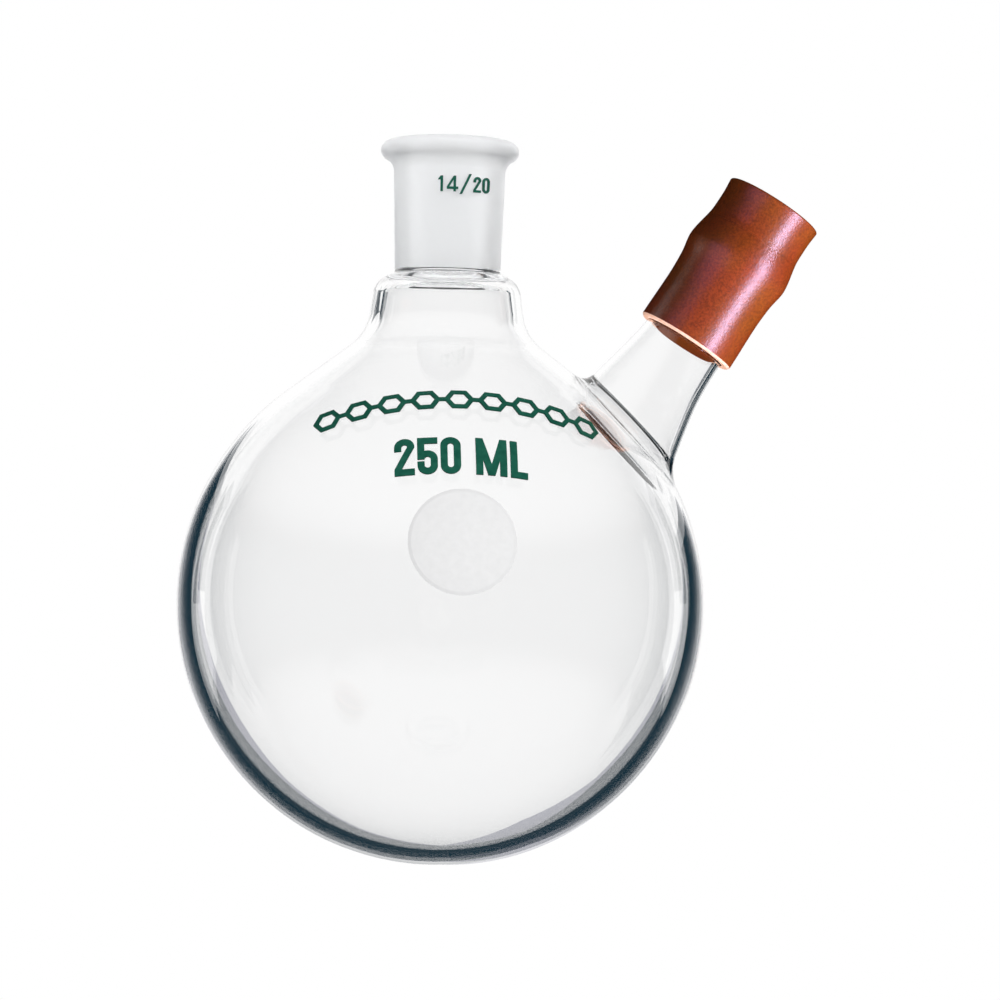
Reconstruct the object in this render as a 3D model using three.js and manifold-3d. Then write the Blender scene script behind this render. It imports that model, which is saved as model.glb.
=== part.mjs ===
// A 250 mL round bottom flask with a 14/20 ground joint and a side port under a rubber sleeve septum.
// Millimetres, +Z up the neck. The origin is the lowest point of the bulb, and the side port leans
// towards +X. The printed marks face -Y.

import * as THREE from 'three';
import { mergeVertices } from 'three/addons/utils/BufferGeometryUtils.js';
import { TessellateModifier } from 'three/addons/modifiers/TessellateModifier.js';
import Module from 'manifold-3d';

// ---------------------------------------------------------------- driving dimensions

const WALL = 2.0;                 // glass thickness of the bulb and the neck
const WELD_GAP = 0.1;             // left between glass pieces that are welded together
const CUT_GAP = 0.3;              // left where a piece is cut to fit its neighbour, or rests in the port

const BULB_RADIUS = 42.5;         // outside, the usual 85 mm of a 250 mL flask
const BULB_CENTRE_Z = BULB_RADIUS;
const SEAM_Z = 84.5;              // level where the neck is welded to the bulb's shoulder

const FLARE = { r: 20.4, z: 90.4, radius: 8.0 };      // hollow curve between bulb and neck
const SHOULDER = { r: 8.5, z: 92.2, radius: 3.5 };    // round corner between neck and joint

const JOINT_BOTTOM = SHOULDER.z + SHOULDER.radius;
const JOINT_TOP = 117.4;
const JOINT_OUTER_BOTTOM = 8.55;
const JOINT_OUTER_TOP = 9.05;
const GROUND_TOP_RADIUS = 7.25;   // 14.5 mm at the large end of a 14/20 joint
const GROUND_LENGTH = 20.0;
const GROUND_SLOPE = 1 / 20;      // a taper of 1 in 10 on the diameter
const BORE_BOTTOM_RADIUS = GROUND_TOP_RADIUS - GROUND_LENGTH * GROUND_SLOPE;
const MOUTH_CHAMFER = 0.9;
const RIM = { r: 9.7, radius: 1.5 };
const RIM_UNDERSIDE = 3.2;        // from the rim's widest level down to the plain tube
const JOINT_RISE = JOINT_TOP - RIM.radius - RIM_UNDERSIDE - JOINT_BOTTOM;
const JOINT_SLOPE = (JOINT_OUTER_TOP - JOINT_OUTER_BOTTOM) / JOINT_RISE;

const PORT_TILT = THREE.MathUtils.degToRad(32);       // between the port and the neck
const PORT_OFFSET = 10.0;         // from the bulb's centre to the port's axis
const PORT_RADIUS = 6.7;
const PORT_WALL = 1.7;
const PORT_INNER_END = 38.0;      // distances along the port's axis, from beside the bulb's centre
const PORT_FOOT_START = 54.0;
const PORT_FOOT_ANGLE = THREE.MathUtils.degToRad(13); // the foot's spread from the axis
const PORT_FOOT_BEND = 12.0;      // radius of the bend where the spread starts
const PORT_MOUTH = 74.2;
const BEAD_RADIUS = 7.4;
const BEAD_HEIGHT = 2.8;

const SKIRT_EDGE = 57.2;          // where the folded skirt ends, along the port's axis
const PLUG_END = -2.3;            // distances from the skirt's edge
const HEAD_STEP = 19.7;
const HEAD_TOP = 26.6;
const HEAD_RADIUS = 8.25;
const HEAD_STEP_RADIUS = 7.3;
const NEEDLE_DISH_RADIUS = 4.4;
const NEEDLE_DISH_DEPTH = 2.0;

const ENAMEL = 0.25;              // thickness of the fired marks
const ENAMEL_GAP = 0.1;
const PRINT_LONGITUDE = THREE.MathUtils.degToRad(4.4);   // of the marks, from -Y towards +X
const SPOT_LATITUDE = THREE.MathUtils.degToRad(12.9);
const SPOT_RADIUS = 8.3;
const CAPACITY_LATITUDE = THREE.MathUtils.degToRad(31.8);
const CAPACITY_HEIGHT = 6.6;
const CAPACITY_PEN = 1.1;
const CAPACITY_MARK = [           // character, centre along the line, width
  ['2', -8.7, 3.1],
  ['5', -5.2, 3.1],
  ['0', -1.7, 3.1],
  ['m', 4.5, 4.8],
  ['l', 8.8, 2.7],
];
const BAND_LATITUDE = THREE.MathUtils.degToRad(47.4);
const BAND_RINGS = 9;
const BAND_PITCH = 5.2;
const BAND_RING_RADIUS = 2.35;
const BAND_PEN = 0.75;
const SIZE_MARK_LEVEL = 109.6;
const SIZE_HEIGHT = 2.5;
const SIZE_PEN = 0.38;
const SIZE_MARK = [
  ['1', -1.9, 0.8],
  ['4', -0.2, 1.8],
  ['slash', 1.9, 1.9],
  ['2', 3.9, 1.3],
  ['0', 5.6, 1.4],
];
const BULB_MARK_EDGE = 2.6;       // longest straight edge that still follows the bulb
const JOINT_MARK_EDGE = 1.3;

const BULB_SEGMENTS = 48;
const NECK_SEGMENTS = 40;
const JOINT_SEGMENTS = 40;
const PORT_SEGMENTS = 32;
const SPOT_SEGMENTS = 40;
const ARC_STEP = THREE.MathUtils.degToRad(12);

// ---------------------------------------------------------------- materials

function glass(roughness) {
  return new THREE.MeshStandardMaterial({ color: 0xe4eeee, roughness, metalness: 0 });
}

function rubber(color) {
  return new THREE.MeshStandardMaterial({ color, roughness: 0.55, metalness: 0 });
}

function enamel(color) {
  return new THREE.MeshStandardMaterial({ color, roughness: 0.6, metalness: 0 });
}

const CLEAR = 0.05;
const FROSTED = 0.6;
const RED_RUBBER = 0x9c3a22;
const GREEN = 0x1e5f4b;
const WHITE = 0xe6e6e6;

// ---------------------------------------------------------------- outlines and solids

// Points of an arc from one angle to another, in equal steps of about ARC_STEP.
function arc(r, z, radius, from, to, step = ARC_STEP) {
  const count = Math.max(1, Math.round(Math.abs(to - from) / step));
  const points = [];
  for (let i = 0; i <= count; i += 1) {
    const angle = from + ((to - from) * i) / count;
    points.push(new THREE.Vector2(r + radius * Math.cos(angle), z + radius * Math.sin(angle)));
  }
  return points;
}

function point(r, z) {
  return new THREE.Vector2(r, z);
}

// Puts both ends of an outline exactly on the axis.
function onAxis(outline) {
  outline[0].x = 0;
  outline[outline.length - 1].x = 0;
  return outline;
}

// A turned solid about +Z from an outline of radius and height.
function turned(outline, segments) {
  const geometry = new THREE.LatheGeometry(outline, segments);
  geometry.rotateX(Math.PI / 2);
  return bare(geometry);
}

// Positions only, with shared corners merged.
function bare(geometry) {
  geometry.deleteAttribute('normal');
  geometry.deleteAttribute('uv');
  return mergeVertices(geometry, 1e-4);
}

const wasm = await Module();
wasm.setup();

function toSolid(geometry) {
  const mesh = new wasm.Mesh({
    numProp: 3,
    vertProperties: new Float32Array(geometry.attributes.position.array),
    triVerts: new Uint32Array(geometry.index.array),
  });
  return new wasm.Manifold(mesh);
}

function toGeometry(solid) {
  const mesh = solid.getMesh();
  const geometry = new THREE.BufferGeometry();
  geometry.setAttribute('position', new THREE.BufferAttribute(mesh.vertProperties, 3));
  geometry.setIndex(new THREE.BufferAttribute(mesh.triVerts, 1));
  return geometry;
}

function named(name, geometry, material) {
  const mesh = new THREE.Mesh(geometry, material);
  mesh.name = name;
  return mesh;
}

// ---------------------------------------------------------------- the glass body of revolution

// The straight stretch between two round ones touches circle a and circle b on opposite sides. This is
// the direction of its outward normal, as an angle from +r, and it holds for every offset of the wall.
function normalBetween(a, b, side) {
  const between = Math.atan2(b.z - a.z, b.r - a.r);
  const distance = Math.hypot(b.r - a.r, b.z - a.z);
  return between + side * Math.acos((a.radius + b.radius) / distance);
}

const BULB = { r: 0, z: BULB_CENTRE_Z, radius: BULB_RADIUS };
const SLOPE_NORMAL = normalBetween(BULB, FLARE, -1);
const NECK_NORMAL = normalBetween(SHOULDER, FLARE, 1);

// The three stretches of the wall's outline, at a distance outside (+) or inside (-) the glass: the
// bulb itself, the hollow curve from one level to the neck, and the round shoulder.
function bulbArc(offset) {
  return arc(0, BULB_CENTRE_Z, BULB_RADIUS + offset, -Math.PI / 2, SLOPE_NORMAL, ARC_STEP * 0.8);
}

function flareArc(offset, from, to) {
  return arc(FLARE.r, FLARE.z, FLARE.radius - offset, from, to);
}

function shoulderArc(offset) {
  return arc(SHOULDER.r, SHOULDER.z, SHOULDER.radius + offset, NECK_NORMAL, Math.PI / 2, ARC_STEP * 2);
}

const FLARE_START = SLOPE_NORMAL - Math.PI;
const FLARE_END = NECK_NORMAL - Math.PI;

// Where the hollow curve passes a level, as an angle about its centre.
function flareAngleAt(z, offset) {
  return Math.asin((FLARE.z - z) / (FLARE.radius - offset)) - Math.PI;
}

function bulbGeometry() {
  const outline = onAxis([
    ...bulbArc(0),
    ...flareArc(0, FLARE_START, flareAngleAt(SEAM_Z, 0)),
    ...flareArc(-WALL, flareAngleAt(SEAM_Z, -WALL), FLARE_START),
    ...bulbArc(-WALL).reverse(),
  ]);
  return turned(outline, BULB_SEGMENTS);
}

function neckGeometry() {
  const foot = SEAM_Z + WELD_GAP;
  const outline = [
    ...flareArc(0, flareAngleAt(foot, 0), FLARE_END),
    ...shoulderArc(0),
    point(BORE_BOTTOM_RADIUS, JOINT_BOTTOM),
    point(BORE_BOTTOM_RADIUS, SHOULDER.z + SHOULDER.radius - WALL),
    ...shoulderArc(-WALL).reverse(),
    ...flareArc(-WALL, FLARE_END, flareAngleAt(foot, -WALL)),
  ];
  outline.push(outline[0].clone());
  return turned(outline, NECK_SEGMENTS);
}

function jointGeometry() {
  const rimZ = JOINT_TOP - RIM.radius;
  const underside = THREE.MathUtils.degToRad(-50);
  const outline = [
    point(JOINT_OUTER_BOTTOM, JOINT_BOTTOM + WELD_GAP),
    point(JOINT_OUTER_TOP, rimZ - RIM_UNDERSIDE),
    ...arc(RIM.r, rimZ, RIM.radius, underside, Math.PI / 2, ARC_STEP * 1.5),
    point(GROUND_TOP_RADIUS + MOUTH_CHAMFER, JOINT_TOP),
    point(GROUND_TOP_RADIUS, JOINT_TOP - MOUTH_CHAMFER),
    point(BORE_BOTTOM_RADIUS, JOINT_TOP - MOUTH_CHAMFER - GROUND_LENGTH),
    point(BORE_BOTTOM_RADIUS, JOINT_BOTTOM + WELD_GAP),
  ];
  outline.push(outline[0].clone());
  return turned(outline, JOINT_SEGMENTS);
}

// ---------------------------------------------------------------- the side port

// Places the port's own frame: its +Z runs out along the port.
function portMatrix() {
  const normal = new THREE.Vector3(Math.cos(PORT_TILT), 0, -Math.sin(PORT_TILT));
  const origin = normal.multiplyScalar(PORT_OFFSET).add(new THREE.Vector3(0, 0, BULB_CENTRE_Z));
  return new THREE.Matrix4().makeRotationY(PORT_TILT).setPosition(origin);
}

// Radius of one side of the port's wall at a level of the spread foot.
function footRadius(tubeRadius, bendRadius, level) {
  const bend = bendRadius * (1 - Math.cos(PORT_FOOT_ANGLE));
  const drop = PORT_FOOT_START - bendRadius * Math.sin(PORT_FOOT_ANGLE) - level;
  return tubeRadius + bend + drop * Math.tan(PORT_FOOT_ANGLE);
}

// One side of the port's wall from the bulb to the plain tube: the spread foot and the bend above it.
function portFoot(tubeRadius, bendRadius) {
  const centre = tubeRadius + bendRadius;
  const from = Math.PI + PORT_FOOT_ANGLE;
  return [
    point(footRadius(tubeRadius, bendRadius, PORT_INNER_END), PORT_INNER_END),
    ...arc(centre, PORT_FOOT_START, bendRadius, from, Math.PI, ARC_STEP * 0.4),
  ];
}

function portGeometry() {
  const beadZ = PORT_MOUTH - BEAD_HEIGHT / 2;
  const bulge = BEAD_RADIUS - BEAD_HEIGHT / 2;
  const inner = PORT_RADIUS - PORT_WALL;
  const outline = [
    ...portFoot(PORT_RADIUS, PORT_FOOT_BEND),
    point(PORT_RADIUS, PORT_MOUTH - BEAD_HEIGHT),
    ...arc(bulge, beadZ, BEAD_HEIGHT / 2, -Math.PI / 4, Math.PI / 2, ARC_STEP * 2),
    point(inner + WALL / 4, PORT_MOUTH),
    point(inner, PORT_MOUTH - WALL / 4),
    ...portFoot(inner, PORT_FOOT_BEND + PORT_WALL).reverse(),
  ];
  outline.push(outline[0].clone());
  return turned(outline, PORT_SEGMENTS).applyMatrix4(portMatrix());
}

// The port's tube with its foot cut to stand on the bulb and clear of the neck.
function trimmedPort() {
  const body = onAxis([
    ...bulbArc(CUT_GAP),
    ...flareArc(CUT_GAP, FLARE_START, FLARE_END),
    ...shoulderArc(CUT_GAP),
    point(0, JOINT_BOTTOM + CUT_GAP),
  ]);
  const inside = toSolid(turned(body, BULB_SEGMENTS));
  return toGeometry(toSolid(portGeometry()).subtract(inside));
}

// The hole in the bulb that the port is welded to.
function portHole() {
  const length = PORT_FOOT_START;
  const radius = footRadius(PORT_RADIUS - PORT_WALL, PORT_FOOT_BEND + PORT_WALL, BULB_RADIUS);
  const cutter = new THREE.CylinderGeometry(radius, radius, length, PORT_SEGMENTS);
  cutter.rotateX(Math.PI / 2).translate(0, 0, length / 2 + PORT_OFFSET);
  return toSolid(bare(cutter).applyMatrix4(portMatrix()));
}

// ---------------------------------------------------------------- the septum, in the port's frame

function plugOutline() {
  const plug = PORT_RADIUS - PORT_WALL - CUT_GAP;
  const shelf = PORT_MOUTH - SKIRT_EDGE + CUT_GAP;
  return [
    point(0, PLUG_END),
    point(plug - WALL / 4, PLUG_END),
    point(plug, PLUG_END + WALL / 4),
    point(plug, shelf),
    point(HEAD_STEP_RADIUS, shelf),
    point(HEAD_STEP_RADIUS, HEAD_STEP),
    point(HEAD_RADIUS, HEAD_STEP),
    point(HEAD_RADIUS, HEAD_TOP),
    point(NEEDLE_DISH_RADIUS, HEAD_TOP),
    point(NEEDLE_DISH_RADIUS - WALL / 4, HEAD_TOP - NEEDLE_DISH_DEPTH),
    point(0, HEAD_TOP - NEEDLE_DISH_DEPTH),
  ];
}

function skirtOutline() {
  const tube = PORT_RADIUS + CUT_GAP;
  const overBead = BEAD_RADIUS + CUT_GAP;
  const beadStart = PORT_MOUTH - BEAD_HEIGHT - SKIRT_EDGE;
  const top = HEAD_STEP - CUT_GAP;
  const outline = [
    point(8.4, 0),
    point(8.3, 7.5),
    point(8.5, 12.2),
    point(8.88, 14.4),
    point(8.98, 15.6),
    point(8.8, 17.2),
    point(8.4, top),
    point(overBead, top),
    point(overBead, beadStart),
    point(tube, beadStart - WALL),
    point(tube, 0),
  ];
  outline.push(outline[0].clone());
  return outline;
}

// ---------------------------------------------------------------- fired marks

// Wraps a flat mark round the bulb. Its centre sits at the given latitude, and u and v in the mark run
// along the two great circles that cross there.
function wrapOnBulb(latitude) {
  const turn = new THREE.Matrix4().makeRotationZ(PRINT_LONGITUDE);
  turn.multiply(new THREE.Matrix4().makeRotationX(-latitude));
  return (u, v, lift) => {
    const along = u / BULB_RADIUS;
    const up = v / BULB_RADIUS;
    const place = new THREE.Vector3(
      Math.sin(along) * Math.cos(up),
      -Math.cos(along) * Math.cos(up),
      Math.sin(up),
    );
    place.multiplyScalar(BULB_RADIUS + ENAMEL_GAP + lift).applyMatrix4(turn);
    return place.add(new THREE.Vector3(0, 0, BULB_CENTRE_Z));
  };
}

// Wraps a flat mark round the joint's tube, whose radius grows a little towards the rim.
function wrapOnJoint(u, v, lift) {
  const z = SIZE_MARK_LEVEL + v;
  const radius = JOINT_OUTER_BOTTOM + JOINT_SLOPE * (z - JOINT_BOTTOM) + ENAMEL_GAP + lift;
  const angle = PRINT_LONGITUDE + u / JOINT_OUTER_TOP;
  return new THREE.Vector3(Math.sin(angle) * radius, -Math.cos(angle) * radius, z);
}

function plate(shape) {
  const options = { depth: ENAMEL, bevelEnabled: false, curveSegments: 9 };
  return toSolid(bare(new THREE.ExtrudeGeometry(shape, options)));
}

// A straight stroke between two levels, cut off level at both ends.
function stroke(x0, y0, x1, y1, width) {
  const half = width / 2;
  return plate(new THREE.Shape([
    new THREE.Vector2(x0 - half, y0),
    new THREE.Vector2(x0 + half, y0),
    new THREE.Vector2(x1 + half, y1),
    new THREE.Vector2(x1 - half, y1),
  ]));
}

// A curved stroke: the part of a ring between two angles.
function bow(x, y, radius, from, to, width) {
  const shape = new THREE.Shape();
  shape.absarc(x, y, radius + width / 2, from, to, false);
  shape.absarc(x, y, radius - width / 2, to, from, true);
  return plate(shape);
}

// Plain condensed characters, centred on (0, 0): x and y reach the outer edges, a and k are the centre
// and the height of the round strokes, and pen is the stroke's width.
const CHARACTERS = {
  0: ({ a, k, pen }) => [
    bow(0, k, a, 0, Math.PI, pen),
    bow(0, -k, a, Math.PI, 2 * Math.PI, pen),
    stroke(-a, -k, -a, k, pen),
    stroke(a, -k, a, k, pen),
  ],
  1: ({ y, pen }) => [
    stroke(0, -y, 0, y, pen),
    stroke(-pen * 1.2, y * 0.5, 0, y, pen * 0.9),
  ],
  2: ({ x, y, a, k, pen }) => [
    bow(0, k, a, 0, Math.PI, pen),
    stroke(-a, k * 0.6, -a, k, pen),
    stroke(-a, pen - y, a, k, pen),
    stroke(0, -y, 0, pen - y, x * 2),
  ],
  4: ({ x, y, a, pen }) => [
    stroke(a * 0.5, -y, a * 0.5, y, pen),
    stroke(-a, -y * 0.4, a * 0.5, y, pen),
    stroke(0, -y * 0.4 - pen, 0, -y * 0.4, x * 2),
  ],
  5: ({ x, y, a, k, pen }) => [
    stroke(0, y - pen, 0, y, x * 2),
    stroke(-a, -y * 0.2, -a, y, pen),
    bow(0, -y * 0.2, a, 0, Math.PI, pen),
    stroke(a, -k, a, -y * 0.2, pen),
    bow(0, -k, a, Math.PI, 2 * Math.PI, pen),
    stroke(-a, -k, -a, -k * 0.6, pen),
  ],
  slash: ({ y, a, pen }) => [
    stroke(-a, -y * 1.3, a, y * 1.3, pen),
  ],
  m: ({ y, a, pen }) => [
    stroke(-a, -y, -a, y, pen),
    stroke(a, -y, a, y, pen),
    stroke(0, -y, -a, y, pen),
    stroke(0, -y, a, y, pen),
  ],
  l: ({ x, y, a, pen }) => [
    stroke(-a, -y, -a, y, pen),
    stroke(0, -y, 0, pen - y, x * 2),
  ],
};

function character(name, height, width, pen) {
  const a = (width - pen) / 2;
  const sizes = { x: width / 2, y: height / 2, a, k: height / 2 - pen / 2 - a, pen };
  const strokes = CHARACTERS[name](sizes);
  return strokes.reduce((solid, next) => solid.add(next));
}

// Hexagon rings in a row, joined by short links.
function hexagonChain(count, pitch, radius, pen) {
  const reach = (pitch * (count - 1)) / 2;
  let chain = stroke(0, -pen / 2, 0, pen / 2, 2 * reach);
  for (let i = 0; i < count; i += 1) {
    const centre = i * pitch - reach;
    const corners = [0, 1, 2, 3, 4, 5].map((n) => new THREE.Vector2(
      centre + radius * Math.cos((n * Math.PI) / 3),
      radius * Math.sin((n * Math.PI) / 3),
    ));
    const narrow = (radius - pen / Math.cos(Math.PI / 6)) / radius;
    const hole = corners.map((corner) => new THREE.Vector2(
      centre + (corner.x - centre) * narrow,
      corner.y * narrow,
    ));
    chain = chain.add(plate(new THREE.Shape(corners))).subtract(drill(hole));
  }
  return chain;
}

// A cutter that runs past both faces of a mark.
function drill(corners) {
  const options = { depth: ENAMEL * 3, bevelEnabled: false };
  const geometry = new THREE.ExtrudeGeometry(new THREE.Shape(corners), options);
  geometry.translate(0, 0, -ENAMEL);
  return toSolid(bare(geometry));
}

// Lays a flat mark on the glass, with edges short enough to follow its curve.
function fired(solid, centre, wrap, longestEdge) {
  const fine = new TessellateModifier(longestEdge, 8).modify(toGeometry(solid));
  const position = fine.attributes.position;
  for (let i = 0; i < position.count; i += 1) {
    const place = wrap(position.getX(i) + centre, position.getY(i), position.getZ(i));
    position.setXYZ(i, place.x, place.y, place.z);
  }
  return bare(fine);
}

// A thin round cap that lies on the bulb.
function spotGeometry() {
  const inner = BULB_RADIUS + ENAMEL_GAP;
  const edge = Math.PI / 2 - SPOT_RADIUS / BULB_RADIUS;
  const step = (Math.PI / 2 - edge) / 4;
  const outline = onAxis([
    ...arc(0, 0, inner, Math.PI / 2, edge, step),
    ...arc(0, 0, inner + ENAMEL, edge, Math.PI / 2, step),
  ]);
  const cap = turned(outline, SPOT_SEGMENTS);
  cap.rotateX(Math.PI / 2 - SPOT_LATITUDE);
  cap.rotateZ(PRINT_LONGITUDE);
  return cap.translate(0, 0, BULB_CENTRE_Z);
}

// ---------------------------------------------------------------- the assembly

const flask = new THREE.Group();

function addGlass() {
  const bulb = toGeometry(toSolid(bulbGeometry()).subtract(portHole()));
  flask.add(named('bulb', bulb, glass(CLEAR)));
  flask.add(named('neck', neckGeometry(), glass(CLEAR)));
  flask.add(named('ground_joint', jointGeometry(), glass(FROSTED)));
  flask.add(named('side_port', trimmedPort(), glass(CLEAR)));
}

function addSeptum() {
  const septum = new THREE.Group();
  septum.applyMatrix4(portMatrix());
  septum.translateZ(SKIRT_EDGE);
  septum.add(named('septum_plug', turned(plugOutline(), PORT_SEGMENTS), rubber(RED_RUBBER)));
  septum.add(named('septum_skirt', turned(skirtOutline(), PORT_SEGMENTS), rubber(RED_RUBBER)));
  flask.add(septum);
}

function addMarks() {
  const spot = named('marking_spot', spotGeometry(), enamel(WHITE));
  flask.add(spot);

  const chain = hexagonChain(BAND_RINGS, BAND_PITCH, BAND_RING_RADIUS, BAND_PEN);
  const band = fired(chain, 0, wrapOnBulb(BAND_LATITUDE), BULB_MARK_EDGE);
  flask.add(named('label_band', band, enamel(GREEN)));

  for (const [name, centre, width] of CAPACITY_MARK) {
    const solid = character(name, CAPACITY_HEIGHT, width, CAPACITY_PEN);
    const geometry = fired(solid, centre, wrapOnBulb(CAPACITY_LATITUDE), BULB_MARK_EDGE);
    flask.add(named(`capacity_${name}`, geometry, enamel(GREEN)));
  }
  for (const [name, centre, width] of SIZE_MARK) {
    const solid = character(name, SIZE_HEIGHT, width, SIZE_PEN);
    const geometry = fired(solid, centre, wrapOnJoint, JOINT_MARK_EDGE);
    flask.add(named(`size_${name}`, geometry, enamel(GREEN)));
  }
}

addGlass();
addSeptum();
addMarks();

export default flask;
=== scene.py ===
"""A round bottom flask of clear blown glass with a red rubber septum on its side port."""

import math

import bmesh
import bpy
import numpy as np
from mathutils import Matrix, Vector


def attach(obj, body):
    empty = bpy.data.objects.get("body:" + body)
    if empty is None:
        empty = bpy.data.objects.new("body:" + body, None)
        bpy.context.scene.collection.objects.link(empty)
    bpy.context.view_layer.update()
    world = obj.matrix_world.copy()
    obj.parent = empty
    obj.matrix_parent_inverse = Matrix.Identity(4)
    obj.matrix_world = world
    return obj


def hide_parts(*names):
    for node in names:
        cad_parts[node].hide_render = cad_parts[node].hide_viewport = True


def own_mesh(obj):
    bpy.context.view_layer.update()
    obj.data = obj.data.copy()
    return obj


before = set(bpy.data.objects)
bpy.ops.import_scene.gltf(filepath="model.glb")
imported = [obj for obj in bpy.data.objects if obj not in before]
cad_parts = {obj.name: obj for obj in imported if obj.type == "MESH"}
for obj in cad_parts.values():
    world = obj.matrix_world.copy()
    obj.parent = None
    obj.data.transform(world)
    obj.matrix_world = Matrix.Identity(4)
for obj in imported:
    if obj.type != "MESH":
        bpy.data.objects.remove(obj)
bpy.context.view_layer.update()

# ------------------------------------------------------------------ sizes, in millimetres

MM = 0.001

WALL = 1.8  # of the neck and the top of the bulb
WALL_BOTTOM = 2.75
BULB_R = 42.5
BULB_Z = 42.5
SEAM_Z = 84.5  # where the bulb ends and the neck starts
FLARE_R, FLARE_Z, FLARE_RADIUS = 20.4, 90.4, 8.0
SHOULDER_R, SHOULDER_Z, SHOULDER_RADIUS = 8.5, 92.2, 3.5
SHOULDER_FILLET = 0.8  # hollow corner between the shoulder and the joint's tube
LEDGE_Z = SHOULDER_Z + SHOULDER_RADIUS - WALL
LEDGE_ROUND = 0.6

BORE_R = 6.25
TUBE_R, TUBE_SLOPE, TUBE_FOOT_Z = 8.55, 0.0296, 95.7
TUBE_LOW_Z, TUBE_HIGH_Z = 96.4, 112.4  # where the tube meets its lower and its upper fillet
GROUND_BOTTOM_Z, GROUND_TOP_Z, GROUND_TOP_R = 96.5, 116.5, 7.25
RIM_R, RIM_Z, RIM_RADIUS = 9.7, 115.9, 1.5
RIM_FILLET = 2.5
MOUTH_ROUND = 0.9

PORT_TILT = math.radians(32)
PORT_OFFSET = 10.0
PORT_R = 6.7
PORT_WALL = 0.9
PORT_SEAM = 46.6  # distances along the port's axis
PORT_FOOT_START = 53.5
PORT_FOOT_LEAN = 3.5  # the foot starts higher on the neck's side
PORT_FOOT_SLOPE = math.tan(math.radians(13))
PORT_FOOT_BEND = 4.0
PORT_FOOT_END = 34.0
PORT_MOUTH = 74.2
BEAD_R = 7.4
BEAD_HEIGHT = 2.8
PORT_FOOT_SCALE = 0.974  # from a radius to a distance square to the sloping foot
WELD_FILLET = 2.0
INNER_WELD_FILLET = 1.7

SKIRT_EDGE = 57.2
SKIRT_LENGTH = 19.6
SKIRT_BORE = 7.05
SKIRT_BORE_OVER_BEAD = BEAD_R + 0.12
SKIRT_WIDE_FROM = 5.6  # the bore is wide enough from here for the bead when the sleeve is rolled up
SKIRT_BEVEL = 0.34
SKIRT_TOP_R = 8.32
SKIRT_SIDE = [  # radius and distance from the edge, along the outside: it swells over the bead
    (8.4, SKIRT_BEVEL), (8.36, 3.0), (8.3, 6.0), (8.3, 9.0), (8.5, 12.2), (8.88, 14.4),
    (8.98, 15.6), (8.8, 17.2), (SKIRT_TOP_R, SKIRT_LENGTH),
]

# Of the plug and its head, as distances from the skirt's edge where they lie along the port.
PLUG_R, PLUG_END, PLUG_ROUND = 5.74, -0.6, 0.9
SHELF = PORT_MOUTH - SKIRT_EDGE + 0.15
STEP_R, STEP = 7.3, SKIRT_LENGTH + 0.02
HEAD_R, HEAD_TOP, HEAD_CRISP = 8.3, 26.6, 0.3
DISH_R, DISH_DEPTH = 4.4, 2.0

PRINT_LONGITUDE = math.radians(4.4)
SPOT_LATITUDE = math.radians(12.9)
SPOT_RADIUS = 8.3
SPOT_SOFT_EDGE = 0.5
ENAMEL_LIFT = 0.02  # left between the glass and the enamel
ENAMEL = 0.14

GRID = 0.75  # spacing of the bulb's mesh
BULB_BOX = (-45.2, -45.2, -2.2), (46.3, 45.3, 87.3)  # the space that the bulb's mesh is looked for in

AXIS = np.array([math.sin(PORT_TILT), 0.0, math.cos(PORT_TILT)])
SIDE = np.array([math.cos(PORT_TILT), 0.0, -math.sin(PORT_TILT)])
PORT_ORIGIN = PORT_OFFSET * SIDE + np.array([0.0, 0.0, BULB_Z])


# ------------------------------------------------------------------ outlines

# An outline is a list of stretches. Each stretch is (points, normals, material number), with points
# and normals as arrays of (r, z), and runs with the outside on its right.


def line(start, end, count=1, material=0):
    points = np.linspace(start, end, count + 1)
    along = np.subtract(end, start) / np.hypot(*np.subtract(end, start))
    normals = np.tile([along[1], -along[0]], (count + 1, 1))
    return points, normals, material


def arc(r, z, radius, start, end, step=4.0, material=0):
    """Part of a circle between two angles in degrees: swelling if they grow, hollow if they fall."""
    count = max(2, math.ceil(abs(end - start) / step))
    angles = np.radians(np.linspace(start, end, count + 1))
    radial = np.stack([np.cos(angles), np.sin(angles)], axis=1)
    return np.array([r, z]) + radius * radial, radial * np.sign(end - start), material


def spline(knots, count=8, material=0):
    """A smooth curve through the knots."""
    knots = np.array(knots, float)
    padded = np.vstack([2 * knots[0] - knots[1], knots, 2 * knots[-1] - knots[-2]])
    points = []
    for a, b, c, d in zip(padded, padded[1:], padded[2:], padded[3:]):
        t = np.linspace(0, 1, count, endpoint=False)[:, None]
        bend = (2 * a - 5 * b + 4 * c - d) * t**2 + (3 * b - a - 3 * c + d) * t**3
        points.append(b + 0.5 * ((c - a) * t + bend))
    points = np.vstack([*points, knots[-1:]])
    along = np.gradient(points, axis=0)
    along /= np.linalg.norm(along, axis=1, keepdims=True)
    return points, np.stack([along[:, 1], -along[:, 0]], axis=1), material


# ------------------------------------------------------------------ meshes


def new_object(name, points, faces, normals, face_materials, materials):
    """A smooth mesh object from points in millimetres, with one normal for each corner of each face."""
    mesh = bpy.data.meshes.new(name)
    mesh.from_pydata((np.asarray(points) * MM).tolist(), [], faces)
    for material in materials:
        mesh.materials.append(material)
    mesh.polygons.foreach_set("material_index", np.asarray(face_materials, np.int32))
    mesh.shade_smooth()
    mesh.normals_split_custom_set(np.asarray(normals).tolist())
    obj = bpy.data.objects.new(name, mesh)
    bpy.context.scene.collection.objects.link(obj)
    return obj


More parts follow.
